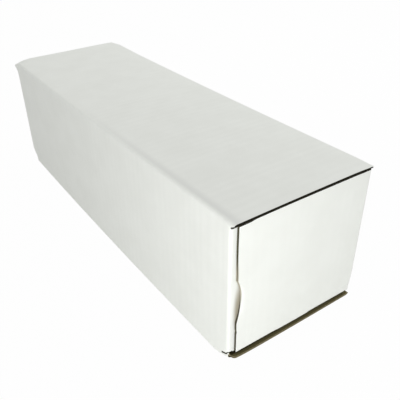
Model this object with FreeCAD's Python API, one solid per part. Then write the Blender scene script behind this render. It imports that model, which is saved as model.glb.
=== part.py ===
import FreeCAD, Part
import math
import os

# A long shipping box, lying on one side, folded from a single sheet of thin corrugated board.
#
#   +X  along the box, towards its near end        -Y  the side that the inner end flaps grow from
#   +Z  up                                         +Y  the side that the outer end flaps are hinged on
#
# The origin is at the middle of the base. All lengths are in millimetres, all angles in degrees.

# ---- the board ----
BOARD = 1.6                  # thickness of the board
LINER = 0.35                 # thickness of each paper face, left standing at a raw edge
EDGE_CHANNEL = 1.2           # how far the open flute can be seen into at a raw edge

# ---- the tube ----
TUBE_LENGTH = 340.0          # raw end edge to raw end edge of the top and the base
TUBE_WIDTH = 108.0           # outside, across the two side panels
TUBE_HEIGHT = 104.0          # outside, base to top
LONG_FOLD_RADIUS = 2.2       # outside of the four long folds

# ---- the glued joint along the top of the +Y side ----
TAB_WIDTH = 30.0             # glue tab, under the top panel
TAB_SETBACK = 6.0            # from the end folds to the ends of the tab
TAB_TAPER = 8.0              # how much shorter the tab's free edge is, at each end
GLUE_DEPTH = 0.5             # how far glue fills the groove between the fold and the top panel

# ---- the end flaps ----
LIP_PROUD = 0.4              # the top and the base stand this far past the outer flaps
END_FOLD_RADIUS = 2.0        # outside of the upright folds at the ends
FLAP_AIR = 0.4               # between an inner flap and the outer flap over it
FLAP_HEAD_CLEARANCE = 0.6    # between a flap's upper edge and the top
FLAP_FOOT_CLEARANCE = 2.8    # between a flap's lower edge and the base
FLAP_REVEAL = 4.0            # an outer flap stops this far short of the -Y side
INNER_FLAP_WIDTH = 60.0      # from the -Y side to an inner flap's free edge
INNER_FLAP_CORNER = 8.0      # radius of an inner flap's free corners
THUMB_NOTCH_HEIGHT = 21.0    # shallow notch half way up an outer flap's free edge
THUMB_NOTCH_DEPTH = 3.2

# ---- the relief slots, one at each end of every upright fold ----
LOWER_SLOT_HEIGHT = 2.6      # beside the base
LOWER_SLOT_LENGTH = 6.0      # along the side panel, from the end fold
UPPER_SLOT_HEIGHT = 0.8      # beside the top
UPPER_SLOT_LENGTH = 0.5
SLOT_IN_FLAP = 1.5           # past the end fold, into the flap

# ---- the creases that the outer flaps turn on ----
CREASE_GAP = 0.3             # between the two halves of an end fold, and kept up to a half turn

# ---- places worked out from the sizes above ----
HALF_LENGTH = TUBE_LENGTH / 2
HALF_WIDTH = TUBE_WIDTH / 2
TOP_UNDERSIDE = TUBE_HEIGHT - BOARD
JOINT_FOLD_Z = TOP_UNDERSIDE - LONG_FOLD_RADIUS     # where the +Y side starts to fold into the tab
TAB_ROOT_Y = HALF_WIDTH - LONG_FOLD_RADIUS

OUTER_FLAP_X = HALF_LENGTH - LIP_PROUD              # outer face of an outer flap
INNER_FLAP_X = OUTER_FLAP_X - BOARD - FLAP_AIR      # outer face of an inner flap
OUTER_FOLD_X = OUTER_FLAP_X - END_FOLD_RADIUS       # centre of the fold into an outer flap
INNER_FOLD_X = INNER_FLAP_X - END_FOLD_RADIUS       # centre of the fold into an inner flap
FOLD_Y = HALF_WIDTH - END_FOLD_RADIUS
FLAP_BOTTOM = BOARD + FLAP_FOOT_CLEARANCE
FLAP_TOP = TOP_UNDERSIDE - FLAP_HEAD_CLEARANCE
FLAP_FREE_Y = FLAP_REVEAL - HALF_WIDTH

MINUS_FOLD_Z = TUBE_HEIGHT - LONG_FOLD_RADIUS       # where the -Y side starts to fold into the top
LOWER_SLOT = (LONG_FOLD_RADIUS, LONG_FOLD_RADIUS + LOWER_SLOT_HEIGHT)
UPPER_SLOT_MINUS_Y = (MINUS_FOLD_Z - UPPER_SLOT_HEIGHT, MINUS_FOLD_Z)
UPPER_SLOT_PLUS_Y = (JOINT_FOLD_Z - UPPER_SLOT_HEIGHT, JOINT_FOLD_Z)

PAST = 1.0                   # how far a cutting shape reaches past what it cuts

Z_AXIS = FreeCAD.Vector(0, 0, 1)
ORIGIN = FreeCAD.Vector(0, 0, 0)
X_AXIS = FreeCAD.Vector(1, 0, 0)


def block(x_range, y_range, z_range):
    """A box between two values along each axis."""
    size = [high - low for low, high in (x_range, y_range, z_range)]
    corner = FreeCAD.Vector(x_range[0], y_range[0], z_range[0])
    return Part.makeBox(size[0], size[1], size[2], corner)


def arc_point(centre, radius, angle):
    """A point in the Y-Z plane, at an angle from +Y towards +Z."""
    turn = math.radians(angle)
    return FreeCAD.Vector(0, centre[0] + radius * math.cos(turn), centre[1] + radius * math.sin(turn))


def rounded_loop(stations):
    """A closed wire in the Y-Z plane through sharp points (y, z) and arcs (y, z, radius, from, to)."""
    pieces = []
    for station in stations:
        if len(station) == 2:
            pieces.append([FreeCAD.Vector(0, station[0], station[1])])
        else:
            y, z, radius, start, end = station
            middle = (start + end) / 2
            pieces.append([arc_point((y, z), radius, angle) for angle in (start, middle, end)])
    edges = []
    for piece, following in zip(pieces, pieces[1:] + pieces[:1]):
        if len(piece) == 3:
            edges.append(Part.Arc(piece[0], piece[1], piece[2]).toShape())
        edges.append(Part.LineSegment(piece[-1], following[0]).toShape())
    return Part.Wire(edges)


def tube_section(inset):
    """The board's section across the box, thinned by an inset on both of its faces."""
    outside = LONG_FOLD_RADIUS - inset
    inside = LONG_FOLD_RADIUS - BOARD + inset
    y_fold = HALF_WIDTH - LONG_FOLD_RADIUS
    glue_angle = 90 - math.degrees(math.asin(GLUE_DEPTH / LONG_FOLD_RADIUS))
    glue_y = arc_point((y_fold, JOINT_FOLD_Z), outside, glue_angle).y
    outer = rounded_loop([
        (-y_fold, LONG_FOLD_RADIUS, outside, 180, 270),
        (y_fold, LONG_FOLD_RADIUS, outside, 270, 360),
        (y_fold, JOINT_FOLD_Z, outside, 0, glue_angle),
        (glue_y, TOP_UNDERSIDE + inset),
        (HALF_WIDTH, TOP_UNDERSIDE + inset),
        (HALF_WIDTH, TUBE_HEIGHT - inset),
        (-y_fold, MINUS_FOLD_Z, outside, 90, 180),
    ])
    tab_free_y = TAB_ROOT_Y - TAB_WIDTH
    inner = rounded_loop([
        (-y_fold, LONG_FOLD_RADIUS, inside, 180, 270),
        (y_fold, LONG_FOLD_RADIUS, inside, 270, 360),
        (y_fold, JOINT_FOLD_Z, inside, 0, 90),
        (tab_free_y, TOP_UNDERSIDE - BOARD + inset),
        (tab_free_y, TOP_UNDERSIDE + inset),
        (-y_fold, MINUS_FOLD_Z, inside, 90, 180),
    ])
    return Part.Face(outer).cut(Part.Face(inner))


def bend(centre, start, end, z_range):
    """Part of an upright fold: a ring sector about Z, at angles from +X towards +Y."""
    height = z_range[1] - z_range[0]
    foot = FreeCAD.Vector(centre[0], centre[1], z_range[0])
    outside = Part.makeCylinder(END_FOLD_RADIUS, height, foot, Z_AXIS, end - start)
    inside = Part.makeCylinder(END_FOLD_RADIUS - BOARD, height, foot, Z_AXIS, end - start)
    sector = outside.cut(inside)
    sector.rotate(foot, Z_AXIS, start)
    return sector


def near_side_openings():
    """What is cut from the tube at its near end, so that only the top and base reach the end."""
    past_end = HALF_LENGTH + PAST
    minus_y = block((INNER_FOLD_X, past_end),
                    (-HALF_WIDTH - PAST, -HALF_WIDTH + LONG_FOLD_RADIUS),
                    (LONG_FOLD_RADIUS, MINUS_FOLD_Z))
    plus_y = block((OUTER_FOLD_X, past_end),
                   (TAB_ROOT_Y - TAB_WIDTH - PAST, HALF_WIDTH + PAST),
                   (LONG_FOLD_RADIUS, TOP_UNDERSIDE))
    return [minus_y, plus_y]


def near_tab_trim():
    """The slanted end of the glue tab."""
    root_x = OUTER_FOLD_X - TAB_SETBACK
    free_y = TAB_ROOT_Y - TAB_WIDTH - PAST
    corners = [(root_x, TAB_ROOT_Y), (HALF_LENGTH, TAB_ROOT_Y), (HALF_LENGTH, free_y),
               (root_x - TAB_TAPER, free_y)]
    points = [FreeCAD.Vector(x, y, TOP_UNDERSIDE - BOARD) for x, y in corners]
    outline = Part.makePolygon(points + points[:1])
    return Part.Face(outline).extrude(FreeCAD.Vector(0, 0, BOARD))


def near_slots():
    """The relief slots in the side panels at the near end."""
    past_y = HALF_WIDTH + PAST
    slots = []
    for side, fold_x, upper in ((-1, INNER_FOLD_X, UPPER_SLOT_MINUS_Y), (1, OUTER_FOLD_X, UPPER_SLOT_PLUS_Y)):
        wall = sorted((side * (HALF_WIDTH - BOARD), side * past_y))
        slots.append(block((fold_x - LOWER_SLOT_LENGTH, HALF_LENGTH), wall, LOWER_SLOT))
        slots.append(block((fold_x - UPPER_SLOT_LENGTH, HALF_LENGTH), wall, upper))
    return slots


def near_inner_flap():
    """The inner end flap and its upright fold, joined to the -Y side panel."""
    fold_z = (LOWER_SLOT[1], UPPER_SLOT_MINUS_Y[0])
    fold = bend((INNER_FOLD_X, -FOLD_Y), 270, 360, fold_z)
    free_y = INNER_FLAP_WIDTH - HALF_WIDTH
    corner_y = free_y - INNER_FLAP_CORNER
    notch_y = SLOT_IN_FLAP - FOLD_Y
    outline = rounded_loop([
        (-FOLD_Y, fold_z[0]),
        (notch_y, fold_z[0]),
        (notch_y, FLAP_BOTTOM),
        (corner_y, FLAP_BOTTOM + INNER_FLAP_CORNER, INNER_FLAP_CORNER, 270, 360),
        (corner_y, FLAP_TOP - INNER_FLAP_CORNER, INNER_FLAP_CORNER, 0, 90),
        (notch_y, FLAP_TOP),
        (notch_y, fold_z[1]),
        (-FOLD_Y, fold_z[1]),
    ])
    panel = Part.Face(outline).extrude(X_AXIS * BOARD)
    panel.translate(X_AXIS * (INNER_FLAP_X - BOARD))
    return fold.fuse(panel)


def crease_gap():
    """The thin upright gap that parts the two halves of the near outer flap's fold."""
    reach = END_FOLD_RADIUS + PAST
    gap = block((0, reach), (-CREASE_GAP / 2, CREASE_GAP / 2), (0, TUBE_HEIGHT))
    gap.rotate(ORIGIN, Z_AXIS, 45)
    gap.translate(FreeCAD.Vector(OUTER_FOLD_X, FOLD_Y, 0))
    return gap


def edge_channel(face, depth):
    """The open flute along the free -Y edge of a flap, from the flap's outline as a flat face."""
    width = BOARD - 2 * LINER
    core = face.extrude(X_AXIS * width)
    rest = core.copy()
    rest.translate(FreeCAD.Vector(0, depth, 0))
    return core.cut(rest)


def carton():
    """The tube, its glued joint and both inner flaps: one folded sheet."""
    tube = tube_section(0.0).extrude(X_AXIS * TUBE_LENGTH)
    tube.translate(X_AXIS * -HALF_LENGTH)
    near_cuts = near_side_openings() + [near_tab_trim()] + near_slots()
    far_cuts = [shape.mirror(ORIGIN, X_AXIS) for shape in near_cuts]
    tube = tube.cut(near_cuts + far_cuts)

    half_fold = bend((OUTER_FOLD_X, FOLD_Y), 45, 90, (LOWER_SLOT[1], UPPER_SLOT_PLUS_Y[0]))
    near_folds = [near_inner_flap(), half_fold.cut(crease_gap())]
    far_folds = [shape.mirror(ORIGIN, X_AXIS) for shape in near_folds]
    sheet = tube.fuse(near_folds + far_folds)

    open_flute = tube_section(LINER).extrude(X_AXIS * EDGE_CHANNEL)
    near_channel = open_flute.copy()
    near_channel.translate(X_AXIS * (HALF_LENGTH - EDGE_CHANNEL))
    far_channel = near_channel.mirror(ORIGIN, X_AXIS)
    return sheet.cut([near_channel, far_channel]).removeSplitter()


def near_outer_flap():
    """The outer end flap at the near end, with its half of the upright fold."""
    fold_z = (LOWER_SLOT[1], UPPER_SLOT_PLUS_Y[0])
    fold = bend((OUTER_FOLD_X, FOLD_Y), 0, 45, fold_z).cut(crease_gap())
    notch_y = FOLD_Y - SLOT_IN_FLAP
    middle = (FLAP_BOTTOM + FLAP_TOP) / 2
    half_chord = THUMB_NOTCH_HEIGHT / 2
    radius = (half_chord ** 2 + THUMB_NOTCH_DEPTH ** 2) / (2 * THUMB_NOTCH_DEPTH)
    half_angle = math.degrees(math.asin(half_chord / radius))
    notch_centre = FLAP_FREE_Y + THUMB_NOTCH_DEPTH - radius
    outline = rounded_loop([
        (FLAP_FREE_Y, FLAP_BOTTOM),
        (notch_y, FLAP_BOTTOM),
        (notch_y, fold_z[0]),
        (FOLD_Y, fold_z[0]),
        (FOLD_Y, fold_z[1]),
        (notch_y, fold_z[1]),
        (notch_y, FLAP_TOP),
        (FLAP_FREE_Y, FLAP_TOP),
        (notch_centre, middle, radius, half_angle, -half_angle),
    ])
    face = Part.Face(outline)
    panel = face.extrude(X_AXIS * BOARD)
    panel.translate(X_AXIS * (OUTER_FLAP_X - BOARD))
    channel = edge_channel(face, EDGE_CHANNEL)
    channel.translate(X_AXIS * (OUTER_FLAP_X - BOARD + LINER))
    return panel.cut(channel).fuse(fold).removeSplitter()


def main():
    os.makedirs("parts", exist_ok=True)
    near_flap = near_outer_flap()
    pieces = {
        "folded_carton": carton(),
        "near_end_flap": near_flap,
        "far_end_flap": near_flap.mirror(ORIGIN, X_AXIS),
    }
    for name, shape in pieces.items():
        solid = shape.Solids[0] if len(shape.Solids) == 1 else shape
        print(name, "solids", len(shape.Solids), "valid", solid.isValid(), "volume", round(solid.Volume, 3))
        solid.exportStep("parts/" + name + ".step")

    # The hinge line lies just outside the middle of the fold, so that the gap never closes.
    inset = END_FOLD_RADIUS * (1 - math.sqrt(0.5)) - CREASE_GAP / 2 * math.sqrt(0.5)
    print("hinge line at x", round(OUTER_FLAP_X - inset, 4), "y", round(HALF_WIDTH - inset, 4))


main()
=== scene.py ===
"""A long folding shipping box of thin white corrugated board, lying on one side.

Every sheet is cut flat, as part of one blank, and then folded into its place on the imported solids.
The board has its real plies: a white outer liner, a fluted medium and a brown inner liner.

    +X  along the box, towards its near end        -Y  the side that the inner end flaps grow from
    +Z  up                                         +Y  the side that the outer end flaps are hinged on

A place on the flat blank is (along, around): along the box from its middle, and round the box from the raw
edge of the top, over the -Y side, the base and the +Y side to the free edge of the glue tab.
"""

import math

import bmesh
import bpy
import numpy as np
from mathutils import Matrix, Vector


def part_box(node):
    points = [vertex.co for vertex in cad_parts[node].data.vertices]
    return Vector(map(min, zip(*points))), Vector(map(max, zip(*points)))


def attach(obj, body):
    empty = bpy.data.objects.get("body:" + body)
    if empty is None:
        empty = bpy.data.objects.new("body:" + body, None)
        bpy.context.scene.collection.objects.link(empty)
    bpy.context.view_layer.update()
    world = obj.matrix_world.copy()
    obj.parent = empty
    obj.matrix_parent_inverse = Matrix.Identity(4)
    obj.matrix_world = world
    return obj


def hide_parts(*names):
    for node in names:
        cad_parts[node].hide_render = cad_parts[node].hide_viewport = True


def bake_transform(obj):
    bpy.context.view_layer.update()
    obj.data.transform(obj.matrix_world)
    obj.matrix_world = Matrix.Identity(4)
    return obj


MM = 0.001

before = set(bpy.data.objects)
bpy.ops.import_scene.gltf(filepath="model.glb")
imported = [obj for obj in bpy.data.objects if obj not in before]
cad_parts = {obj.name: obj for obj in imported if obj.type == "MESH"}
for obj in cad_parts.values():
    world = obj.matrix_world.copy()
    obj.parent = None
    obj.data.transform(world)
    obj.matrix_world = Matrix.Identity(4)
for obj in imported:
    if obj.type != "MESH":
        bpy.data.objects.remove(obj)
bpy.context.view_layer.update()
carton_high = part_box("folded_carton")[1]
flap_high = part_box("near_end_flap")[1]

# ---- the board ----
BOARD = 1.6 * MM             # thickness
LINER = 0.2 * MM             # each paper face
MEDIUM = 0.2 * MM            # the fluted paper between them
FLUTE_PITCH = 3.4 * MM       # crest to crest; the flutes run round the box
FLUTE_STEPS = 6              # straight steps that one flute is made of
FLUTE_SWING = (BOARD - MEDIUM) / 2 - LINER
FLUTE_START = 0.3 * MM       # from the raw ends of the box in to the first crest

# ---- how the box has given in use ----
BOW = 1.6 * MM               # its middle stands this much further to the -Y side than its ends
CROWN = 0.6 * MM             # the top stands this much higher in the middle
CROWN_LOSS = 0.5             # the share of it that is gone at the ends
SLACK = 0.2 * MM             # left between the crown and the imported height
LIP_LIFT = 1.5 * MM          # the near end of the base has lifted
MINUS_CURL = 1.9 * MM        # and its -Y corner further, fading along the lip
MINUS_CURL_FADE = 42 * MM
MINUS_TIP = 2.2 * MM         # with a sharp tip at the fold
MINUS_TIP_FADE = 4.5 * MM
CURL_START = 155 * MM        # along the box
CURL_FULL = 168 * MM
CURL_BEND = 1.3              # 1 lifts the lip straight, and more bends it up towards its edge
CURL_RISE = 7 * MM           # the side panels give way over this height
SKEW = 1.6 * MM              # the far end is this much shorter at the -Y side
KNOCKS = [                   # a knocked corner, as signs of x, y and z; its reach; and how far it is pushed
    ((-1, -1, -1), 14 * MM, (5.4 * MM, 1.8 * MM, 0.0)),
    ((-1, -1, 1), 12 * MM, (0.0, -1.3 * MM, -2.9 * MM)),
    ((-1, 1, 1), 64 * MM, (0.0, 0.0, 0.7 * MM)),
    ((-1, 1, 1), 16 * MM, (0.0, -2.8 * MM, 0.0)),
    ((1, 1, 1), 16 * MM, (0.0, 0.0, -0.4 * MM)),
    ((1, 1, -1), 24 * MM, (0.0, -1.7 * MM, 0.0)),
]
PINCH = 0.5                  # the share of the board's thickness lost at the top's near +Y corner
PINCH_REACH = 5 * MM

# ---- the tube ----
HALF_LENGTH = carton_high.x
HALF_WIDTH = carton_high.y - BOW / 2
HEIGHT = carton_high.z - CROWN - SLACK
LONG_FOLD = 2.2 * MM         # outside radius of the four long folds
TAB_WIDTH = 30 * MM
TAB_SETBACK = 6 * MM         # from the upright fold to the end of the tab
TAB_TAPER = 8 * MM           # how much shorter the tab's free edge is, at each end
TOP_TRIM = 1.5 * MM          # the top's long fold is cut back at its ends
TOP_TRIM_END = 0.3 * MM      # along the box, how far past the upper slot's end the trim starts
LIP_SHORT = 0.4 * MM         # the base's lip starts this far inside its -Y fold
LIP_CORNER = 2.5 * MM        # radius of its corner there
LIP_PLUS_SHORT = 0.8 * MM    # and it ends this far down round its +Y fold

# ---- the end flaps ----
END_FOLD = 2.0 * MM          # outside radius of the upright folds
FLAP_AIR = 0.2 * MM          # between an inner flap and the outer flap over it
OUTER_FLAP_X = flap_high.x
OUTER_FOLD_X = OUTER_FLAP_X - END_FOLD
INNER_FOLD_X = OUTER_FOLD_X - BOARD - FLAP_AIR
FLAP_REVEAL = 4.0 * MM       # an outer flap stops this far short of the -Y side
INNER_FLAP_WIDTH = 60 * MM
INNER_FLAP_CORNER = 8 * MM
SEAM_BACK = 0.5 * MM         # an outer flap's own sheet starts this far before its fold
CREASE_GAP = 0.3 * MM        # the tab's fold stops this far from an outer flap's
FLAP_HEAD = 0.6 * MM         # clear of the top
FLAP_FOOT = 4.2 * MM         # clear of the base
FLAP_FOOT_RISE = 2.8 * MM    # and this much more at an outer flap's free edge

# ---- the relief slots ----
LOWER_SLOT_HEIGHT = 2.6 * MM
LOWER_SLOT = 6 * MM          # length of the slots beside the base, from an outer flap's fold
UPPER_SLOT_HEIGHT = 1.5 * MM
FOLD_SLOT = 1.5 * MM         # a slot between two folds starts this far round the upright one
SLOT_IN_FLAP = 1.5 * MM      # and runs this far past it
TORN_SLOT = 3.7 * MM         # the near -Y slot has torn open this far into the side
TORN_SLOT_END = 1.9 * MM     # its height at the closed end
CORNER_NOTCH = 7.1 * MM      # its height at the upright fold
CORNER_NOTCH_START = 1.1 * MM    # where that height starts, round the fold
SLIVER_START = 1.32 * MM     # a torn sliver stands in it, from here round the fold
SLIVER_PEAK = 1.65 * MM      # with its peak here
SLIVER_HEIGHT = 2.8 * MM
SLIVER_SHOULDER = 2.24 * MM  # and this height where it ends
BASE_NOTCH = 2.2 * MM        # how far round the fold that is

# ---- the head and foot of an outer flap, by distance from its free edge ----
HEAD_DIP = 0.5 * MM          # the head is lower near the free edge
HEAD_DIP_START = 11 * MM
HEAD_DIP_FADE = 3 * MM
HEAD_WANDER = 0.2 * MM       # and wanders, over this length for each turn of one radian
HEAD_WAVE = 21 * MM
FOOT_SWELL = 0.85 * MM       # the foot is cut lower in the middle
FOOT_SWELL_START = 28 * MM
FOOT_SWELL_FADE = 10 * MM
FOOT_STEP = 61 * MM          # and its swell ends in a small step
TRIM_DEPTH = 8 * MM          # the sheet gives way to both over this height

# ---- the free edge of an outer flap ----
THUMB_NOTCH_BELOW = 1.5 * MM     # its deepest place is this far below the middle of the side
THUMB_NOTCH_RISE = 14.75 * MM    # from there up
THUMB_NOTCH_FALL = 17 * MM       # and down
THUMB_NOTCH_DEPTH = 3.3 * MM
CRUSH_DEPTH = 0.7 * MM       # its outer liner is pushed in this far, over the width of the crush
CRUSH_WIDTH = 2 * MM
CRUSH_BACK = 0.4 * MM        # and the plies behind it are cut back this much further
EDGE_BAND = 14 * MM          # the edge is shaped within this band
EDGE_WANDER = 0.2 * MM
EDGE_WAVES = (9 * MM, 23 * MM)
FOOT_SHORT = 0.7 * MM        # the flap is this much shorter at its foot
NICK_HEIGHT = 23 * MM        # a small nick, this far above the base's fold
NICK_DEPTH = 0.4 * MM
NICK_REACH = 1.6 * MM

# ---- how finely the sheets are sliced ----
CELL = 6 * MM                # on the panels, so that they can bow and curl
FINE_CELL = 1.5 * MM         # where an edge is shaped or a panel curls
FOLD_SLICES = 8
MEDIUM_CELL = 24 * MM        # round the box, on the carton's medium
MEDIUM_FOLD_SLICES = 4
SLIVER_CELL = 0.35 * MM      # no slice of a medium comes this close to a corner of its outline
SAME_PLACE = 0.001 * MM
STEP_BAND = 2 * MM           # finer slices on either side of the foot's step and of the nick
CORNER_STEPS = 6             # straight steps that a rounded corner is made of

# ---- places on the flat blank ----
QUARTER = math.pi / 2
LONG_ARC = LONG_FOLD * QUARTER
END_ARC = END_FOLD * QUARTER
TOP_PANEL = 2 * HALF_WIDTH - LONG_FOLD
MINUS_SIDE = TOP_PANEL + LONG_ARC
BASE_FOLD = MINUS_SIDE + HEIGHT - 2 * LONG_FOLD
BASE_PANEL = BASE_FOLD + LONG_ARC
PLUS_FOLD = BASE_PANEL + 2 * (HALF_WIDTH - LONG_FOLD)
PLUS_SIDE = PLUS_FOLD + LONG_ARC
TAB_FOLD = PLUS_SIDE + HEIGHT - BOARD - 2 * LONG_FOLD
TAB_PANEL = TAB_FOLD + LONG_ARC
TAB_EDGE = TAB_PANEL + TAB_WIDTH
LONG_FOLDS = (TOP_PANEL, BASE_FOLD, PLUS_FOLD, TAB_FOLD)

INNER_FLAP_START = INNER_FOLD_X + END_ARC
INNER_FLAP_EDGE = INNER_FLAP_START + INNER_FLAP_WIDTH - END_FOLD
INNER_FLAP_HEAD = MINUS_SIDE + UPPER_SLOT_HEIGHT / 2
INNER_FLAP_FOOT = BASE_FOLD - BOARD - FLAP_FOOT + LONG_FOLD
OUTER_FLAP_START = OUTER_FOLD_X + END_ARC
OUTER_FLAP_EDGE = OUTER_FLAP_START + 2 * HALF_WIDTH - FLAP_REVEAL - END_FOLD
OUTER_FLAP_HEAD = TAB_FOLD + LONG_FOLD - FLAP_HEAD
OUTER_FLAP_FOOT = PLUS_SIDE + BOARD + FLAP_FOOT - LONG_FOLD
FLAP_SEAM = OUTER_FOLD_X - SEAM_BACK    # where an outer flap's own sheet takes over from the carton's
FOOT_SHORT_REACH = 0.6 * (OUTER_FLAP_HEAD - OUTER_FLAP_FOOT)
NOTCH_MIDDLE = (PLUS_SIDE + TAB_FOLD) / 2 - THUMB_NOTCH_BELOW
NICK_PLACE = PLUS_SIDE + NICK_HEIGHT

# ---- where painted shade, painted light and rubbing lie on the board; a pair is where each starts to show and where it shows in full ----
TOP_EDGE_SHADE_BAND = (4 * MM, 2 * MM)           # painted shade of the deep flutes, from the top's raw edges
CREASE_SHADE_BAND = (6 * MM, 1 * MM)       # painted shade on the top, from its -Y fold
CREASE_SHADE_ALONG = (-50 * MM, 130 * MM)
BASE_END_LIGHT_AND_SHADE = (12 * MM, 5 * MM)         # painted shadow on the brown inside and painted light on the raw edges, from the ends of the base
FLAP_EDGE_SHADE_BAND = (6 * MM, 3 * MM)          # painted shade on the brown ply, from an outer flap's free edge
RUBBED_RIM = (0.8 * MM, 0.2 * MM)    # thumbs have rubbed that edge
RUBBED_SPAN = (20 * MM, 6 * MM)      # on either side of this place
RUBBED_EDGE = NOTCH_MIDDLE + 12 * MM
INNER_FLAP_SHADOW_MIDDLE = (INNER_FLAP_START + 5.5 * MM, MINUS_SIDE + 61 * MM)    # and a painted shadow on the inner flap behind it
INNER_FLAP_SHADOW_REACH = (5.3 * MM, 26 * MM)
INNER_FLAP_SHADOW_CORE = 0.3                    # the share of the reach that shows in full

# ---- how the flutes and the pulp show ----
BEAT = 6.4 * MM                      # the flutes show through the white liner as slow beats of this length, in relief and as painted shade
BEAT_WANDER = 7.0                    # how unevenly they come, in radians
BEAT_ALONG = (-120 * MM, 140 * MM)   # they grow stronger from the far end to the near end, where the light grazes the side
BEAT_FAR = 0.35                      # their strength at the far end
BEAT_FADE = 6 * MM                   # and they fade out to the end flaps
BEAT_ON_FLAP = 0.3                   # their strength there
COATED_BEAT_SHADE_SHARE = 0.18
COATED_SPECK_SHARE = 0.4
KRAFT_FIBRE_SHARE = 0.35
KRAFT_BAND_SHARE = 0.12
KRAFT_SPECK_SHARE = 0.6
CUT_FIBRE_SHARE = 0.8
RELIEF = 0.02 * MM                   # of a liner's face
CUT_RELIEF = 0.05 * MM

# ---- colours, as linear red, green and blue ----
COATED_WHITE = (0.862, 0.88, 0.836)
COATED_CLOUD = (0.838, 0.855, 0.81)
# painted shade of the flute beats
COATED_BEAT_SHADE = (0.785, 0.805, 0.762)
COATED_SPECK = (0.55, 0.53, 0.47)
# painted shade beside the top's -Y fold
COATED_CREASE_SHADE = (0.77, 0.785, 0.75)
# rubbed white at the rim of the thumb notch, and a painted shadow on the inner flap behind it
COATED_RUBBED_AND_SHADOW = (0.38, 0.35, 0.265)
KRAFT = (0.31, 0.245, 0.15)
KRAFT_CLOUD = (0.25, 0.195, 0.115)
# kraft fluting, darkened as painted shade of the flute cavities between the liners
SHADED_FLUTING_PAPER = (0.145, 0.135, 0.09)
SHADED_FLUTING_CLOUD = (0.105, 0.097, 0.065)
CUT_PAPER = (0.07, 0.063, 0.038)
CUT_CLOUD = (0.033, 0.029, 0.018)
CUT_FIBRE = (0.45, 0.42, 0.36)
RUBBED_FIBRE = (0.55, 0.51, 0.41)
# painted shade at the top's raw edges and an outer flap's free edge, painted shadow inside the base's ends
# and painted light on its lip's raw edges, lighter rubbed fibres at the thumb notch
KRAFT_SHADES_AND_MARKS = {"Top Edge Shade": (0.042, 0.037, 0.02), "Base End Light And Shade": (0.15, 0.13, 0.054),
               "Flap Edge Shade": (0.13, 0.12, 0.075), "Rubbed And Shadow": RUBBED_FIBRE}
FLUTING_SHADES_AND_MARKS = {"Top Edge Shade": (0.028, 0.025, 0.015), "Base End Light And Shade": (0.18, 0.155, 0.083), "Rubbed And Shadow": RUBBED_FIBRE}
CUT_SHADES_AND_MARKS = {"Top Edge Shade": (0.022, 0.019, 0.011), "Base End Light And Shade": (0.3, 0.265, 0.16), "Rubbed And Shadow": RUBBED_FIBRE}

# ---- the set ----
FLOOR_REACH = 4              # from the box to the floor's sides, in metres
FLOOR_WHITE = 0.65
FLOOR_GLOW = 0.98            # how far the floor is drawn to plain white for the camera
STUDIO_GLOW = 0.68
LAMPS = [                    # name, place, what it looks at, size and power
    ("key", (0.47, -0.30, 0.07), (0, 0, 0.05), 0.2, 1.16),
    ("fill", (-0.1, 0.6, 0.5), (0, 0, 0.05), 0.5, 1.34),
]
CAMERA_AZIMUTH = 55.416      # degrees, from -Y towards +X
CAMERA_ELEVATION = 32.308
CAMERA_ROLL = -0.821
CAMERA_DISTANCE = 449.82 * MM
CAMERA_SLIDE = 36.78 * MM    # to its own right
CAMERA_LIFT = 10.28 * MM     # and up
CAMERA_LENS = 45.65          # millimetres, on Blender's own sensor


# ---------------------------------------------------------------- the blank

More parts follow.
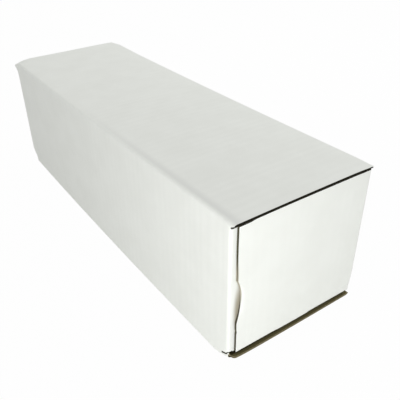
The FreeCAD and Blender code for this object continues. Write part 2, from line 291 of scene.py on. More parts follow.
def end_outline(torn):
    """One end of the tube with its tab and inner flap, laid flat; the near end's -Y slot has torn."""
    notch = INNER_FLAP_START + SLOT_IN_FLAP
    slot_start = INNER_FOLD_X + FOLD_SLOT
    inner_flap = [
        (slot_start, MINUS_SIDE),
        (slot_start, MINUS_SIDE + UPPER_SLOT_HEIGHT),
        (notch, MINUS_SIDE + UPPER_SLOT_HEIGHT),
        (notch, INNER_FLAP_HEAD),
        (INNER_FLAP_EDGE, INNER_FLAP_HEAD),
        (INNER_FLAP_EDGE, INNER_FLAP_FOOT),
        (notch, INNER_FLAP_FOOT),
    ]
    torn_slot = [
        (notch, BASE_FOLD - CORNER_NOTCH),
        (INNER_FOLD_X + CORNER_NOTCH_START, BASE_FOLD - CORNER_NOTCH),
        (INNER_FOLD_X, BASE_FOLD - LOWER_SLOT_HEIGHT),
        (INNER_FOLD_X - TORN_SLOT, BASE_FOLD - TORN_SLOT_END),
        (INNER_FOLD_X - TORN_SLOT, BASE_FOLD),
        (INNER_FOLD_X + SLIVER_START, BASE_FOLD),
        (INNER_FOLD_X + SLIVER_PEAK, BASE_FOLD - SLIVER_HEIGHT),
        (INNER_FOLD_X + BASE_NOTCH, BASE_FOLD - SLIVER_SHOULDER),
        (INNER_FOLD_X + BASE_NOTCH, BASE_PANEL + LIP_SHORT),
    ]
    sound_slot = [
        (notch, BASE_FOLD - LOWER_SLOT_HEIGHT),
        (slot_start, BASE_FOLD - LOWER_SLOT_HEIGHT),
        (slot_start, BASE_PANEL + LIP_SHORT),
    ]
    return [
        (HALF_LENGTH, 0),
        (HALF_LENGTH, MINUS_SIDE - TOP_TRIM),
        (slot_start + TOP_TRIM_END, MINUS_SIDE),
        *inner_flap,
        *(torn_slot if torn else sound_slot),
        (HALF_LENGTH, BASE_PANEL + LIP_SHORT),
        (HALF_LENGTH, PLUS_SIDE - LIP_PLUS_SHORT),
        (OUTER_FOLD_X - LOWER_SLOT, PLUS_SIDE - LIP_PLUS_SHORT),
        (OUTER_FOLD_X - LOWER_SLOT, PLUS_SIDE + LOWER_SLOT_HEIGHT),
        (FLAP_SEAM, PLUS_SIDE + LOWER_SLOT_HEIGHT),
        (FLAP_SEAM, TAB_FOLD),
        (FLAP_SEAM - CREASE_GAP, TAB_FOLD),
        (FLAP_SEAM - CREASE_GAP, TAB_PANEL),
        (OUTER_FOLD_X - TAB_SETBACK, TAB_PANEL),
        (OUTER_FOLD_X - TAB_SETBACK - TAB_TAPER, TAB_EDGE),
    ]


def carton_outline():
    """The near end's outline, carried on round the far end."""
    far_end = [(-along, around) for along, around in reversed(end_outline(torn=False))]
    return end_outline(torn=True) + far_end


def outer_flap_outline():
    """The near outer flap with its fold, laid flat beside the +Y side."""
    notch = OUTER_FLAP_START + SLOT_IN_FLAP
    return [
        (FLAP_SEAM, PLUS_SIDE + LOWER_SLOT_HEIGHT),
        (notch, PLUS_SIDE + LOWER_SLOT_HEIGHT),
        (notch, OUTER_FLAP_FOOT),
        (OUTER_FLAP_EDGE, OUTER_FLAP_FOOT + FLAP_FOOT_RISE),
        (OUTER_FLAP_EDGE, OUTER_FLAP_HEAD),
        (FLAP_SEAM, OUTER_FLAP_HEAD),
    ]


def evenly(start, end, step):
    """Places between two ends, no further apart than a step."""
    count = max(1, math.ceil((end - start) / step - 1e-6))
    return [start + (end - start) * i / count for i in range(count + 1)]


def apart(places, gap):
    """The places in order, without those that fall within a gap of the one before."""
    kept = []
    for place in sorted(places):
        if not kept or place - kept[-1] > gap:
            kept.append(place)
    return kept


def places_round(step, slices):
    """Where the blank is sliced lengthwise: even cells on the panels, finer where it folds or curls."""
    places = []
    start = 0
    for fold in LONG_FOLDS:
        end = fold + LONG_ARC
        places += evenly(start, fold, step)
        places += evenly(fold, end, LONG_ARC / slices)
        start = end
    places += evenly(start, TAB_EDGE, step)
    places += evenly(BASE_FOLD - CURL_RISE, BASE_FOLD, FINE_CELL)
    places += evenly(PLUS_SIDE, PLUS_SIDE + CURL_RISE, FINE_CELL)
    return sorted(set(places))


def places_along(fold, edge):
    """Where one end of the blank is sliced across, from the middle of the box out to a flap's edge."""
    start = fold + END_ARC
    places = evenly(0, CURL_START, CELL)
    places += evenly(CURL_START, fold, FINE_CELL)
    places += evenly(fold, start, END_ARC / FOLD_SLICES)
    places += evenly(start, edge - EDGE_BAND, CELL)
    places += evenly(edge - FOOT_STEP - STEP_BAND, edge - FOOT_STEP + STEP_BAND, STEP_BAND / 2)
    places += evenly(edge - EDGE_BAND, edge - CRUSH_WIDTH, CELL / 3)
    places += evenly(edge - CRUSH_WIDTH, edge, CRUSH_WIDTH / 4)
    return sorted(set(places))


def notch_places():
    """Finer slices round the thumb notch and the nick."""
    places = evenly(NOTCH_MIDDLE - THUMB_NOTCH_FALL, NOTCH_MIDDLE + THUMB_NOTCH_RISE, FINE_CELL)
    return places + evenly(NICK_PLACE - STEP_BAND, NICK_PLACE + STEP_BAND, FINE_CELL / 2)


def both_ways(places):
    """The same places at both ends of the box."""
    return sorted(set(places) | {-place for place in places})


# ---------------------------------------------------------------- folding

def wrapped(course, start, heading, distance, depth):
    """A point at a distance along a folded course, and at a depth inside it. The course turns left."""
    here = Vector(start)
    last = len(course) - 1
    for index, (length, radius) in enumerate(course):
        step = distance if index == last else min(distance, length)
        if radius:
            left = Vector((-math.sin(heading), math.cos(heading)))
            centre = here + left * radius
            heading += step / radius
            here = centre - Vector((-math.sin(heading), math.cos(heading))) * radius
        else:
            here = here + Vector((math.cos(heading), math.sin(heading))) * step
        distance -= step
        if distance <= 0:
            break
    return here + Vector((-math.sin(heading), math.cos(heading))) * depth


ROUND_COURSE = [
    (TOP_PANEL, 0),
    (LONG_ARC, LONG_FOLD),
    (BASE_FOLD - MINUS_SIDE, 0),
    (LONG_ARC, LONG_FOLD),
    (PLUS_FOLD - BASE_PANEL, 0),
    (LONG_ARC, LONG_FOLD),
    (TAB_FOLD - PLUS_SIDE, 0),
    (LONG_ARC, LONG_FOLD),
    (TAB_WIDTH, 0),
]
INNER_COURSE = [(INNER_FOLD_X, 0), (END_ARC, END_FOLD), (INNER_FLAP_WIDTH, 0)]
OUTER_COURSE = [(OUTER_FOLD_X, 0), (END_ARC, END_FOLD), (2 * HALF_WIDTH, 0)]


def folded(point, outer_flap):
    """Where a point of the flat blank lies on the folded box; the flat z is minus its depth in the board."""
    along, around, depth = abs(point.x), -point.y, -point.z
    side = 1 if point.x >= 0 else -1
    if outer_flap:
        x, y = wrapped(OUTER_COURSE, (0, -HALF_WIDTH), 0, along, depth)
        return Vector((side * x, -y, LONG_FOLD + (around - PLUS_SIDE)))
    if along > INNER_FOLD_X and MINUS_SIDE < around < BASE_FOLD:
        x, y = wrapped(INNER_COURSE, (0, -HALF_WIDTH), 0, along, depth)
        return Vector((side * x, y, HEIGHT - LONG_FOLD - (around - MINUS_SIDE)))
    y, z = wrapped(ROUND_COURSE, (HALF_WIDTH, HEIGHT), math.pi, around, depth)
    return Vector((side * along, y, z))


# ---------------------------------------------------------------- how the box has given

def ease(share):
    """0 to 1, starting and ending gently."""
    share = min(1, max(0, share))
    return share * share * (3 - 2 * share)


def near(value, centre, reach):
    """1 at the centre, easing to 0 at the reach."""
    return ease(1 - abs(value - centre) / reach)


def crown(x, y):
    """How much the top panel stands up in its middle."""
    return CROWN * (1 - CROWN_LOSS * (x / HALF_LENGTH) ** 2) * (1 - (y / HALF_WIDTH) ** 2)


def settled(place, outer_flap):
    """Where a point of the folded box lies now that the tube has bowed, crowned and been knocked.

    The crown fades out down the sides, and is gone half way down. The outer flaps keep clear of it.
    """
    x, y, z = place
    if not outer_flap:
        z += crown(x, y) * ease((z / HEIGHT - 0.5) * 2)
    pushed = Vector((x, y, z))
    for (end, side, level), reach, push in KNOCKS:
        corner = (end * HALF_LENGTH, side * HALF_WIDTH, HEIGHT if level > 0 else 0)
        pushed += Vector(push) * math.prod(near(a, b, reach) for a, b in zip(place, corner))
    if x < 0:
        pushed.x += SKEW * (x / HALF_LENGTH) ** 2 * (1 - y / HALF_WIDTH) / 2
    pushed.y += BOW * ((x / HALF_LENGTH) ** 2 - 0.5)
    return pushed


def curl(point):
    """How far the near lip of the base has lifted, and its folds with it, at a point of the flat blank."""
    along, around = point.x, -point.y
    into_lip = min(1, max(0, (along - CURL_START) / (CURL_FULL - CURL_START))) ** CURL_BEND
    below_minus_side = ease((around - BASE_FOLD + CURL_RISE) / CURL_RISE)
    below_plus_side = ease((PLUS_SIDE + CURL_RISE - around) / CURL_RISE)
    from_corner = max(0, around - BASE_FOLD)
    lift = LIP_LIFT + MINUS_CURL * math.exp(-from_corner / MINUS_CURL_FADE)
    lift += MINUS_TIP * math.exp(-from_corner / MINUS_TIP_FADE)
    return into_lip * below_minus_side * below_plus_side * lift


# ---------------------------------------------------------------- sheets

def face_up(bm):
    """Turns a flat sheet so that its outer face looks along +Z."""
    bm.normal_update()
    bm.faces.ensure_lookup_table()
    if bm.faces[0].normal.z < 0:
        bmesh.ops.reverse_faces(bm, faces=bm.faces[:])


def flat_face(outline, rounded):
    """One flat face with this outline; some of its corners are cut round."""
    bm = bmesh.new()
    bm.faces.new([bm.verts.new((along, -around, 0)) for along, around in outline])
    for (along, around), radius in rounded:
        corner = min(bm.verts, key=lambda vert: (vert.co.xy - Vector((along, -around))).length)
        bmesh.ops.bevel(bm, geom=[corner], offset=radius, segments=CORNER_STEPS, profile=0.5,
                        affect="VERTICES", material=-1, offset_type="OFFSET")
    face_up(bm)
    return bm


def slice_up(bm, across, round_the_box):
    """Slices a flat sheet into small cells, so that it can fold, bow and curl."""
    for normal, places in ((Vector((1, 0, 0)), across), (Vector((0, -1, 0)), round_the_box)):
        for place in places:
            bmesh.ops.bisect_plane(bm, geom=bm.verts[:] + bm.edges[:] + bm.faces[:], dist=1e-7,
                                   plane_co=normal * place, plane_no=normal)


def medium_rows(rim, round_the_box):
    """The slices of a medium lengthwise: one through each corner of its rim, and the rest well between."""
    corners = apart((-float(y) for y in rim[:, 1]), SAME_PLACE)
    between = [place for place in round_the_box if corners[0] < place < corners[-1]]
    between = [place for place in between if min(abs(place - corner) for corner in corners) > SLIVER_CELL]
    return apart(corners + between, SAME_PLACE)


def within(points, rim):
    """Which points lie inside a closed rim: a line to the right of each crosses it an odd number of times."""
    inside = np.zeros(len(points), bool)
    for (ax, ay), (bx, by) in zip(rim, np.roll(rim, -1, axis=0)):
        if ay == by:
            continue
        level = (points[:, 1] > min(ay, by)) & (points[:, 1] <= max(ay, by))
        crossing = ax + (points[:, 1] - ay) * (bx - ax) / (by - ay)
        inside ^= level & (points[:, 0] < crossing)
    return inside


def corrugated_sheet(bm, across, round_the_box):
    """A fine grid in the shape of a flat face, drawn in a little from its outline."""
    bm.faces.ensure_lookup_table()
    outline_face = bm.faces[0]
    bmesh.ops.inset_region(bm, faces=[outline_face], thickness=MEDIUM, use_even_offset=True)
    rim = np.array([vert.co.xy for vert in outline_face.verts])
    bm.free()
    columns = [place for place in across if rim[:, 0].min() <= place <= rim[:, 0].max()]
    rows = medium_rows(rim, round_the_box)
    bm = bmesh.new()
    bmesh.ops.create_grid(bm, x_segments=len(columns) - 1, y_segments=len(rows) - 1, size=0.5)
    for vert in bm.verts:
        column = round((vert.co.x + 0.5) * (len(columns) - 1))
        row = round((vert.co.y + 0.5) * (len(rows) - 1))
        vert.co = (columns[column], -rows[row], 0)
    centres = np.array([face.calc_center_median().xy for face in bm.faces])
    outside = [face for face, kept in zip(bm.faces, within(centres, rim)) if not kept]
    bmesh.ops.delete(bm, geom=outside, context="FACES")
    face_up(bm)
    return bm


def thicken(bm, outer_depth, thickness):
    """Gives a flat sheet its thickness, from a depth inside the board down."""
    grown = bmesh.ops.extrude_face_region(bm, geom=bm.faces[:])
    lifted = [item for item in grown["geom"] if isinstance(item, bmesh.types.BMVert)]
    for vert in bm.verts:
        vert.co.z -= outer_depth + thickness
    for vert in lifted:
        vert.co.z += thickness
    bmesh.ops.recalc_face_normals(bm, faces=bm.faces[:])
    bm.normal_update()


def mark_plies(bm):
    """Material 0 on the outer face of a flat sheet, 1 on the inner face, 2 on its cut edges."""
    for face in bm.faces:
        face.smooth = True
        face.material_index = 0 if face.normal.z > 0.5 else 1 if face.normal.z < -0.5 else 2
    for edge in bm.edges:
        edge.smooth = len({face.material_index for face in edge.link_faces}) == 1


def keep_flat_places(bm):
    """Stores where each corner was on the flat blank, so that grain and flutes follow the folds."""
    layer = bm.loops.layers.uv.new("blank")
    for face in bm.faces:
        for loop in face.loops:
            loop[layer].uv = loop.vert.co.xy


def press_flutes(bm):
    """Waves the medium between the liners."""
    for vert in bm.verts:
        turn = (abs(vert.co.x) - HALF_LENGTH + FLUTE_START) / FLUTE_PITCH
        vert.co.z += FLUTE_SWING * math.cos(2 * math.pi * turn)


def shape_head_and_foot(bm):
    """Lets an outer flap's head wander and dip near the free edge, and its foot swell down to a step."""
    for vert in bm.verts:
        short = OUTER_FLAP_EDGE - abs(vert.co.x)
        around = -vert.co.y
        dip = HEAD_DIP * ease((HEAD_DIP_START - short) / HEAD_DIP_FADE)
        dip -= HEAD_WANDER * math.sin(short / HEAD_WAVE)
        swell = FOOT_SWELL * ease((short - FOOT_SWELL_START) / FOOT_SWELL_FADE)
        swell *= ease((FOOT_STEP - short) / MM + 0.5)
        vert.co.y += dip * ease((around - OUTER_FLAP_HEAD) / TRIM_DEPTH + 1)
        vert.co.y += swell * ease((OUTER_FLAP_FOOT - around) / TRIM_DEPTH + 1)


def shape_free_edge(bm, outer_face):
    """Cuts the thumb notch into a flap's free edge, which wanders a little and has a nick near its foot.

    In the notch the outer face is crushed inwards, and the plies behind it are cut back further.
    """
    for vert in bm.verts:
        short = OUTER_FLAP_EDGE - abs(vert.co.x)
        if short > EDGE_BAND:
            continue
        around = -vert.co.y
        reach = THUMB_NOTCH_FALL if around < NOTCH_MIDDLE else THUMB_NOTCH_RISE
        notch = max(0, 1 - ((around - NOTCH_MIDDLE) / reach) ** 2)
        cut = THUMB_NOTCH_DEPTH * notch
        cut += EDGE_WANDER * (1 + math.sin(around / EDGE_WAVES[0]) * math.sin(around / EDGE_WAVES[1] + 1))
        cut += FOOT_SHORT * max(0, 1 - (around - OUTER_FLAP_FOOT) / FOOT_SHORT_REACH)
        cut += NICK_DEPTH * near(around, NICK_PLACE, NICK_REACH)
        if outer_face:
            vert.co.z -= CRUSH_DEPTH * notch * ease(1 - short / CRUSH_WIDTH)
        else:
            cut += CRUSH_BACK * notch
        vert.co.x -= math.copysign(cut * ease(1 - short / EDGE_BAND), vert.co.x)


def pinch(point):
    """The share of the board's thickness that is left at a point of the flat blank."""
    end = ease((point.x - HALF_LENGTH) / PINCH_REACH + 1)
    return 1 - PINCH * end * ease(1 + point.y / PINCH_REACH)


def fold(bm, outer_flap):
    """Folds a flat sheet into its place on the box."""
    for vert in bm.verts:
        vert.co.z *= pinch(vert.co)
        place = folded(vert.co, outer_flap)
        place.z += curl(vert.co)
        vert.co = settled(place, outer_flap)


def finished(bm, name, materials):
    """The sheet as an object of the scene."""
    mesh = bpy.data.meshes.new(name)
    bm.to_mesh(mesh)
    bm.free()
    piece = bpy.data.objects.new(name, mesh)
    bpy.context.scene.collection.objects.link(piece)
    for material in materials:
        mesh.materials.append(material)
    return piece


# ---------------------------------------------------------------- finishes

def add(tree, kind, inputs=None, **settings):
    """A new node with these settings; each input is a plain value or the socket that feeds it."""
    made = tree.nodes.new(kind)
    for name, value in settings.items():
        setattr(made, name, value)
    for name, value in (inputs or {}).items():
        if isinstance(value, bpy.types.NodeSocket):
            tree.links.new(value, made.inputs[name])
        else:
            made.inputs[name].default_value = value
    return made


def maths(tree, operation, *values):
    """The outcome of one sum."""
    return add(tree, "ShaderNodeMath", dict(enumerate(values)), operation=operation).outputs[0]


def spread(tree, value, low, high, to_low, to_high):
    """Maps a range of values smoothly onto another."""
    return add(tree, "ShaderNodeMapRange", {"Value": value, "From Min": low, "From Max": high,
                                            "To Min": to_low, "To Max": to_high},
               interpolation_type="SMOOTHSTEP").outputs[0]


def coming_in(tree, value, edge, band):
    """0 to 1 as a value nears an edge: the band says how far from it this starts and is complete."""
    return spread(tree, value, edge - band[0], edge - band[1], 0.0, 1.0)


def mixed(tree, share, first, second):
    """A blend of two colours."""
    made = tree.nodes.new("ShaderNodeMix")
    made.data_type = "RGBA"
    for socket, value in ((made.inputs[0], share), (made.inputs[6], first), (made.inputs[7], second)):
        if isinstance(value, bpy.types.NodeSocket):
            tree.links.new(value, socket)
        else:
            socket.default_value = (*value, 1) if isinstance(value, tuple) else value
    return made.outputs[2]


def new_group(name, takes, gives):
    """An empty node group, with its inputs and outputs by name."""
    group = bpy.data.node_groups.new(name, "ShaderNodeTree")
    for label, kind, value in takes:
        socket = group.interface.new_socket(label, in_out="INPUT", socket_type="NodeSocket" + kind)
        if value is not None:
            socket.default_value = value
    for label in gives:
        group.interface.new_socket(label, in_out="OUTPUT", socket_type="NodeSocketFloat")
    return group, group.nodes.new("NodeGroupInput").outputs, group.nodes.new("NodeGroupOutput").inputs


def paper_group():
    """What every paper ply shows: soft clouds where the pulp lies thicker, short fibres, and specks."""
    group, taken, given = new_group(
        "paper", [("Blank", "Vector", None), ("Cloud Size", "Float", 0.02), ("Fibre Length", "Float", 0.004),
                  ("Speck Share", "Float", 0.02)],
        ["Cloud", "Fibre", "Speck"])
    links = group.links
    cloud = add(group, "ShaderNodeTexNoise", {"Vector": taken["Blank"], "Detail": 3.0, "Roughness": 0.55,
                                              "Scale": maths(group, "DIVIDE", 1.0, taken["Cloud Size"])})
    links.new(spread(group, cloud.outputs["Fac"], 0.3, 0.7, 0.0, 1.0), given["Cloud"])
    stretched = add(group, "ShaderNodeMapping", {"Vector": taken["Blank"], "Scale": (1.0, 5.0, 1.0),
                                                 "Rotation": (0.0, 0.0, 0.09)})
    fibre = add(group, "ShaderNodeTexNoise", {"Vector": stretched.outputs[0], "Detail": 4.0, "Roughness": 0.7,
                                              "Distortion": 0.4,
                                              "Scale": maths(group, "DIVIDE", 1.0, taken["Fibre Length"])})
    links.new(fibre.outputs["Fac"], given["Fibre"])
    grains = add(group, "ShaderNodeTexNoise", {"Vector": taken["Blank"], "Scale": 1400.0, "Detail": 1.0})
    limit = maths(group, "SUBTRACT", 0.8, taken["Speck Share"])
    above = maths(group, "SUBTRACT", grains.outputs["Fac"], limit)
    links.new(spread(group, above, 0.0, 0.04, 0.0, 1.0), given["Speck"])
    return group


def flute_group():
    """How the flutes telegraph through a liner: fine ribs, and a slower beat that comes and goes; the beat is
    relief and, in the white liner's colour, painted shade.
    """
    group, taken, given = new_group(
        "flute lines", [("Blank", "Vector", None), ("Beat", "Float", BEAT)], ["Ribs", "Beats"])
    links = group.links
    along = add(group, "ShaderNodeSeparateXYZ", {"Vector": taken["Blank"]}).outputs["X"]
    turns = maths(group, "DIVIDE", along, FLUTE_PITCH / (2 * math.pi))
    links.new(maths(group, "COSINE", turns), given["Ribs"])
    long_drift = add(group, "ShaderNodeMapping", {"Vector": taken["Blank"], "Scale": (60.0, 9.0, 1.0)})
    drift = add(group, "ShaderNodeTexNoise", {"Vector": long_drift.outputs[0], "Scale": 1.0, "Detail": 2.0})
    wander = maths(group, "MULTIPLY", drift.outputs["Fac"], BEAT_WANDER)
    beat_turns = maths(group, "DIVIDE", maths(group, "MULTIPLY", along, 2 * math.pi), taken["Beat"])
    beat = maths(group, "COSINE", maths(group, "ADD", beat_turns, wander))
    patches = add(group, "ShaderNodeTexNoise", {"Vector": long_drift.outputs[0], "Scale": 0.7, "Detail": 1.0,
                                                "Roughness": 0.4})
    strength = spread(group, patches.outputs["Fac"], 0.35, 0.65, 0.25, 1.0)
    # stronger towards the near end, where the light grazes the side; in the white liner's colour this is
    # painted shade
    on_tube = spread(group, along, BEAT_ALONG[0], BEAT_ALONG[1], BEAT_FAR, 1.0)
    on_flap = spread(group, along, HALF_LENGTH - BEAT_FADE, HALF_LENGTH, 1.0, BEAT_ON_FLAP)
    strength = maths(group, "MULTIPLY", strength, maths(group, "MULTIPLY", on_tube, on_flap))
    links.new(maths(group, "MULTIPLY", beat, strength), given["Beats"])
    return group


def shade_and_wear_group():
    """Where painted shade, painted light and rubbing lie on the board: its raw edges, beside the top's fold,
    and round the thumb notches.
    """
    group, taken, given = new_group(
        "shade and wear", [("Blank", "Vector", None)], ["Top Edge Shade", "Base End Light And Shade", "Flap Edge Shade", "Rubbed And Shadow", "Crease Shade"])
    links = group.links
    place = add(group, "ShaderNodeSeparateXYZ", {"Vector": taken["Blank"]}).outputs
    along = maths(group, "ABSOLUTE", place["X"])
    around = maths(group, "MULTIPLY", place["Y"], -1.0)

    # painted shade of the deep flutes at the top's raw edges
    on_top = spread(group, around, MINUS_SIDE - MM, MINUS_SIDE, 1.0, 0.0)
    rim = maths(group, "MAXIMUM", coming_in(group, along, HALF_LENGTH, TOP_EDGE_SHADE_BAND),
                spread(group, around, TOP_EDGE_SHADE_BAND[1], TOP_EDGE_SHADE_BAND[0], 1.0, 0.0))
    links.new(maths(group, "MULTIPLY", on_top, rim), given["Top Edge Shade"])

    # painted shade on the top beside its -Y fold, over the near part of the box
    beside_fold = maths(group, "MULTIPLY", coming_in(group, around, TOP_PANEL, CREASE_SHADE_BAND),
                        spread(group, around, TOP_PANEL - MM, TOP_PANEL + MM, 1.0, 0.0))
    near_half = spread(group, place["X"], CREASE_SHADE_ALONG[0], CREASE_SHADE_ALONG[1], 0.0, 1.0)
    links.new(maths(group, "MULTIPLY", beside_fold, near_half), given["Crease Shade"])

    # painted shadow on the brown inside of the base near its ends, and painted light on the raw edges of its
    # lip
    base_end_light_and_shade = coming_in(group, along, HALF_LENGTH, BASE_END_LIGHT_AND_SHADE)
    on_base = maths(group, "MULTIPLY", spread(group, around, BASE_FOLD - LONG_FOLD, BASE_FOLD, 0.0, 1.0),
                    spread(group, around, PLUS_SIDE, PLUS_SIDE + LONG_FOLD, 1.0, 0.0))
    links.new(maths(group, "MULTIPLY", base_end_light_and_shade, on_base), given["Base End Light And Shade"])

    # painted shade on the brown ply beside an outer flap's free edge
    links.new(coming_in(group, along, OUTER_FLAP_EDGE, FLAP_EDGE_SHADE_BAND), given["Flap Edge Shade"])

    on_edge = coming_in(group, along, OUTER_FLAP_EDGE, RUBBED_RIM)
    from_middle = maths(group, "ABSOLUTE", maths(group, "SUBTRACT", around, RUBBED_EDGE))
    span = spread(group, from_middle, RUBBED_SPAN[1], RUBBED_SPAN[0], 1.0, 0.0)
    rubbed_edge = maths(group, "MULTIPLY", on_edge, span)
    # a painted shadow on the inner flap behind the thumb notch
    across = maths(group, "DIVIDE", maths(group, "SUBTRACT", along, INNER_FLAP_SHADOW_MIDDLE[0]), INNER_FLAP_SHADOW_REACH[0])
    upright = maths(group, "DIVIDE", maths(group, "SUBTRACT", around, INNER_FLAP_SHADOW_MIDDLE[1]), INNER_FLAP_SHADOW_REACH[1])
    away = maths(group, "SQRT", maths(group, "ADD", maths(group, "MULTIPLY", across, across),
                                      maths(group, "MULTIPLY", upright, upright)))
    inner_flap_shadow = spread(group, away, INNER_FLAP_SHADOW_CORE, 1.0, 1.0, 0.0)
    links.new(maths(group, "MAXIMUM", rubbed_edge, inner_flap_shadow), given["Rubbed And Shadow"])
    return group


PAPER = paper_group()
FLUTE_LINES = flute_group()
SHADE_AND_WEAR = shade_and_wear_group()


def new_material(name, roughness):
    """A paper finish to build on: its nodes, its shader, and where each point is on the flat blank."""
    material = bpy.data.materials.new(name)
    material.use_nodes = True
    tree = material.node_tree
    shader = tree.nodes["Principled BSDF"]
    shader.inputs["Specular IOR Level"].default_value = 0.3
    shader.inputs["Roughness"].default_value = roughness
    blank = add(tree, "ShaderNodeUVMap", uv_map="blank").outputs["UV"]
    return material, tree, shader, blank


def paper(tree, blank, cloud, fibre, specks):
    """The clouds, fibres and specks of a ply: the size of the first two, and the share of the last."""
    return add(tree, "ShaderNodeGroup", {"Blank": blank, "Cloud Size": cloud, "Fibre Length": fibre,
                                         "Speck Share": specks}, node_tree=PAPER).outputs


def shown_flutes(tree, blank):
    """The ribs and beats of the flutes behind a ply."""
    return add(tree, "ShaderNodeGroup", {"Blank": blank}, node_tree=FLUTE_LINES).outputs


def raised(tree, shader, height, distance):
    """Gives a finish a fine relief."""
    bump = add(tree, "ShaderNodeBump", {"Height": height, "Strength": 1.0, "Distance": distance})
    tree.links.new(bump.outputs[0], shader.inputs["Normal"])


def tinted(colour, factor):
    """A lighter or darker shade of a colour."""
    return tuple(factor * part for part in colour)


def shaded_and_worn(tree, blank, colour, shades_and_marks):
    """A colour with painted shade, painted light and rubbed marks laid over it, each in a colour of its own.
    """
    masks = add(tree, "ShaderNodeGroup", {"Blank": blank}, node_tree=SHADE_AND_WEAR).outputs
    for overlay, overlay_colour in shades_and_marks.items():
        colour = mixed(tree, masks[overlay], colour, overlay_colour)
    return colour


def white_liner():
    """Coated white paper: nearly even, with soft clouds, a few pale specks and the flutes showing through in
    relief and as painted shade; painted shade beside the top's fold, and a rubbed rim and painted shadow at
    the thumb notch.
    """
    material, tree, shader, blank = new_material("white_liner", roughness=0.7)
    pulp = paper(tree, blank, cloud=22 * MM, fibre=3 * MM, specks=0.03)
    flutes = shown_flutes(tree, blank)
    beats = spread(tree, flutes["Beats"], -1.0, 1.0, 0.0, COATED_BEAT_SHADE_SHARE)
    colour = mixed(tree, pulp["Cloud"], COATED_WHITE, COATED_CLOUD)
    # the beats darken the white as painted shade
    colour = mixed(tree, beats, colour, COATED_BEAT_SHADE)
    colour = mixed(tree, maths(tree, "MULTIPLY", pulp["Speck"], COATED_SPECK_SHARE), colour, COATED_SPECK)
    colour = shaded_and_worn(tree, blank, colour, {"Rubbed And Shadow": COATED_RUBBED_AND_SHADOW, "Crease Shade": COATED_CREASE_SHADE})
    tree.links.new(colour, shader.inputs["Base Color"])
    tree.links.new(spread(tree, pulp["Fibre"], 0.3, 0.7, 0.62, 0.78), shader.inputs["Roughness"])
    flute_relief = maths(tree, "ADD", flutes["Beats"], maths(tree, "MULTIPLY", flutes["Ribs"], 0.3))
    relief = maths(tree, "ADD", flute_relief, maths(tree, "MULTIPLY", pulp["Fibre"], 0.5))
    raised(tree, shader, relief, RELIEF)
    return material


def kraft_liner(name, light, dark, shades_and_marks):
    """Brown paper, with darker fibres and the flutes showing as faint bands, and painted shade and light laid
    on by place.
    """
    material, tree, shader, blank = new_material(name, roughness=0.85)
    pulp = paper(tree, blank, cloud=15 * MM, fibre=5 * MM, specks=0.05)
    flutes = shown_flutes(tree, blank)
    fibres = spread(tree, pulp["Fibre"], 0.5, 0.7, 0.0, KRAFT_FIBRE_SHARE)
    bands = spread(tree, flutes["Ribs"], -1.0, 1.0, 0.0, KRAFT_BAND_SHARE)
    colour = mixed(tree, pulp["Cloud"], light, dark)
    colour = mixed(tree, fibres, colour, tinted(dark, 0.6))
    colour = mixed(tree, bands, colour, tinted(light, 1.3))
    specks = maths(tree, "MULTIPLY", pulp["Speck"], KRAFT_SPECK_SHARE)
    colour = mixed(tree, specks, colour, tinted(dark, 0.4))
    colour = shaded_and_worn(tree, blank, colour, shades_and_marks)
    tree.links.new(colour, shader.inputs["Base Color"])
    relief = maths(tree, "ADD", flutes["Ribs"], maths(tree, "MULTIPLY", pulp["Fibre"], 2.0))
    raised(tree, shader, relief, RELIEF)
    return material


def cut_edge():
    """The knife-cut edge of a paper ply, dark with torn fibre ends; much darker at the top's raw edges as
    painted shade, lighter at the base's ends as painted light, and lighter rubbed fibres round the thumb
    notch.
    """
    material, tree, shader, blank = new_material("cut_edge", roughness=0.9)
    place = add(tree, "ShaderNodeTexCoord").outputs["Object"]
    pulp = paper(tree, place, cloud=6 * MM, fibre=1.5 * MM, specks=0.05)
    colour = mixed(tree, pulp["Cloud"], CUT_PAPER, CUT_CLOUD)
    colour = mixed(tree, maths(tree, "MULTIPLY", pulp["Speck"], CUT_FIBRE_SHARE), colour, CUT_FIBRE)
    colour = shaded_and_worn(tree, blank, colour, CUT_SHADES_AND_MARKS)
    tree.links.new(colour, shader.inputs["Base Color"])
    raised(tree, shader, pulp["Fibre"], CUT_RELIEF)
    return material


# ---------------------------------------------------------------- pieces

WHITE_LINER = white_liner()
KRAFT_LINER = kraft_liner("kraft_liner", KRAFT, KRAFT_CLOUD, KRAFT_SHADES_AND_MARKS)
FLUTING = kraft_liner("fluting", SHADED_FLUTING_PAPER, SHADED_FLUTING_CLOUD, FLUTING_SHADES_AND_MARKS)
CUT_EDGE = cut_edge()

PLIES = [    # name, depth in the board, thickness, and the finish of its outer face, inner face and cut edges
    ("outer_liner", 0, LINER, [WHITE_LINER, KRAFT_LINER, CUT_EDGE]),
    ("inner_liner", BOARD - LINER, LINER, [KRAFT_LINER, KRAFT_LINER, CUT_EDGE]),
    ("medium", (BOARD - MEDIUM) / 2, MEDIUM, [FLUTING, FLUTING, CUT_EDGE]),
]

ROUNDED = [((side * INNER_FLAP_EDGE, around), INNER_FLAP_CORNER) for side in (-1, 1)
           for around in (INNER_FLAP_HEAD, INNER_FLAP_FOOT)]
ROUNDED += [((side * HALF_LENGTH, BASE_PANEL + LIP_SHORT), LIP_CORNER) for side in (-1, 1)]


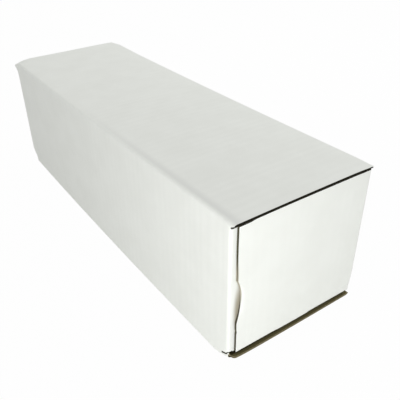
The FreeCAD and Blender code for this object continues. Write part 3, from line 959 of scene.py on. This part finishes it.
def make_plies(name, outline, rounded, liner_cells, medium_cells, outer_flap):
    """The plies of one node, each cut flat and then folded; cells are the slices across and lengthwise."""
    sheets = []
    for ply, depth, thickness, finishes in PLIES:
        bm = flat_face(outline, rounded)
        if ply == "medium":
            bm = corrugated_sheet(bm, *medium_cells)
        else:
            slice_up(bm, *liner_cells)
        thicken(bm, depth, thickness)
        mark_plies(bm)
        keep_flat_places(bm)
        if ply == "medium":
            press_flutes(bm)
        if outer_flap:
            shape_head_and_foot(bm)
            shape_free_edge(bm, ply == "outer_liner")
        fold(bm, outer_flap)
        sheets.append(finished(bm, name + "_" + ply, finishes))
    return sheets


def make_carton():
    """The tube, its glue tab and both inner flaps."""
    across = both_ways(places_along(INNER_FOLD_X, INNER_FLAP_EDGE))
    wave = both_ways(evenly(0, INNER_FLAP_EDGE, FLUTE_PITCH / FLUTE_STEPS))
    liner_cells = (across, places_round(CELL, FOLD_SLICES))
    medium_cells = (wave, places_round(MEDIUM_CELL, MEDIUM_FOLD_SLICES))
    for sheet in make_plies("carton", carton_outline(), ROUNDED, liner_cells, medium_cells, outer_flap=False):
        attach(sheet, "box")
        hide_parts("folded_carton")


def make_end_flap(far):
    """An outer end flap with its fold, closed over the end."""
    side = -1 if far else 1
    node = "far_end_flap" if far else "near_end_flap"
    outline = outer_flap_outline()
    if far:
        outline = [(-along, around) for along, around in reversed(outline)]
    across = [side * place for place in places_along(OUTER_FOLD_X, OUTER_FLAP_EDGE) if place > FLAP_SEAM]
    wave = sorted(side * place for place in evenly(0, OUTER_FLAP_EDGE, FLUTE_PITCH / FLUTE_STEPS))
    rows = sorted(set(places_round(CELL, FOLD_SLICES)) | set(notch_places()))
    rows = [row for row in rows if PLUS_SIDE <= row <= OUTER_FLAP_HEAD]
    for sheet in make_plies(node, outline, [], (across, rows), (wave, rows), outer_flap=True):
        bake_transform(sheet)
        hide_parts(node)


make_carton()
make_end_flap(far=False)
make_end_flap(far=True)


# ---------------------------------------------------------------- the set

def make_floor():
    """A plain pale floor, which is white to the camera but for the box's shadow."""
    bm = bmesh.new()
    bmesh.ops.create_grid(bm, x_segments=1, y_segments=1, size=FLOOR_REACH)
    piece = finished(bm, "floor", [floor_material()])


def seen_directly(tree):
    """1 on the rays that show a background: straight to the camera, mirrored or through glass."""
    path = add(tree, "ShaderNodeLightPath").outputs
    either = maths(tree, "MAXIMUM", path["Is Camera Ray"], path["Is Glossy Ray"])
    return maths(tree, "MAXIMUM", either, path["Is Transmission Ray"])


def floor_material():
    """Matt and pale; what shows directly is drawn towards white."""
    material = bpy.data.materials.new("floor")
    material.use_nodes = True
    tree = material.node_tree
    shader = tree.nodes["Principled BSDF"]
    shader.inputs["Base Color"].default_value = (FLOOR_WHITE, FLOOR_WHITE, FLOOR_WHITE, 1)
    shader.inputs["Roughness"].default_value = 0.9
    glow = add(tree, "ShaderNodeEmission")
    share = maths(tree, "MULTIPLY", seen_directly(tree), FLOOR_GLOW)
    mix = add(tree, "ShaderNodeMixShader", {0: share, 1: shader.outputs[0], 2: glow.outputs[0]})
    tree.links.new(mix.outputs[0], tree.nodes["Material Output"].inputs["Surface"])
    return material


def make_lamp(name, place, aim, size, power):
    """A square soft light, hidden from the camera."""
    data = bpy.data.lights.new(name, "AREA")
    data.shape = "SQUARE"
    data.size = size
    data.energy = power
    piece = bpy.data.objects.new(name, data)
    bpy.context.scene.collection.objects.link(piece)
    piece.location = place
    piece.rotation_mode = "QUATERNION"
    piece.rotation_quaternion = (Vector(aim) - Vector(place)).to_track_quat("-Z", "Y")
    piece.visible_camera = False


def make_world(strength):
    """An even studio glow; the camera sees it as white."""
    data = bpy.data.worlds.new("studio")
    bpy.context.scene.world = data
    data.use_nodes = True
    tree = data.node_tree
    glow = tree.nodes["Background"]
    glow.inputs["Strength"].default_value = strength
    glow.inputs["Color"].default_value = (1, 1, 1, 1)
    white = add(tree, "ShaderNodeBackground", {"Color": (1, 1, 1, 1), "Strength": 1.0})
    mix = add(tree, "ShaderNodeMixShader", {0: seen_directly(tree), 1: glow.outputs[0], 2: white.outputs[0]})
    tree.links.new(mix.outputs[0], tree.nodes["World Output"].inputs["Surface"])


def make_camera():
    """Looks down on the near end and the -Y side."""
    angles = (CAMERA_AZIMUTH, CAMERA_ELEVATION, CAMERA_ROLL)
    azimuth, elevation, roll = (math.radians(angle) for angle in angles)
    back = Vector((math.sin(azimuth) * math.cos(elevation), -math.cos(azimuth) * math.cos(elevation),
                   math.sin(elevation)))
    level = Vector((math.cos(azimuth), math.sin(azimuth), 0))
    upright = back.cross(level)
    right = level * math.cos(roll) + upright * math.sin(roll)
    up = upright * math.cos(roll) - level * math.sin(roll)
    data = bpy.data.cameras.new("camera")
    data.lens = CAMERA_LENS
    data.clip_start, data.clip_end = 0.01, 20
    piece = bpy.data.objects.new("camera", data)
    bpy.context.scene.collection.objects.link(piece)
    turn = Matrix((right, up, back)).transposed().to_4x4()
    place = back * CAMERA_DISTANCE + right * CAMERA_SLIDE + up * CAMERA_LIFT
    piece.matrix_world = Matrix.Translation(place) @ turn
    bpy.context.scene.camera = piece


make_floor()
make_world(STUDIO_GLOW)
for lamp in LAMPS:
    make_lamp(*lamp)
make_camera()
bpy.context.scene.view_settings.view_transform = "Standard"
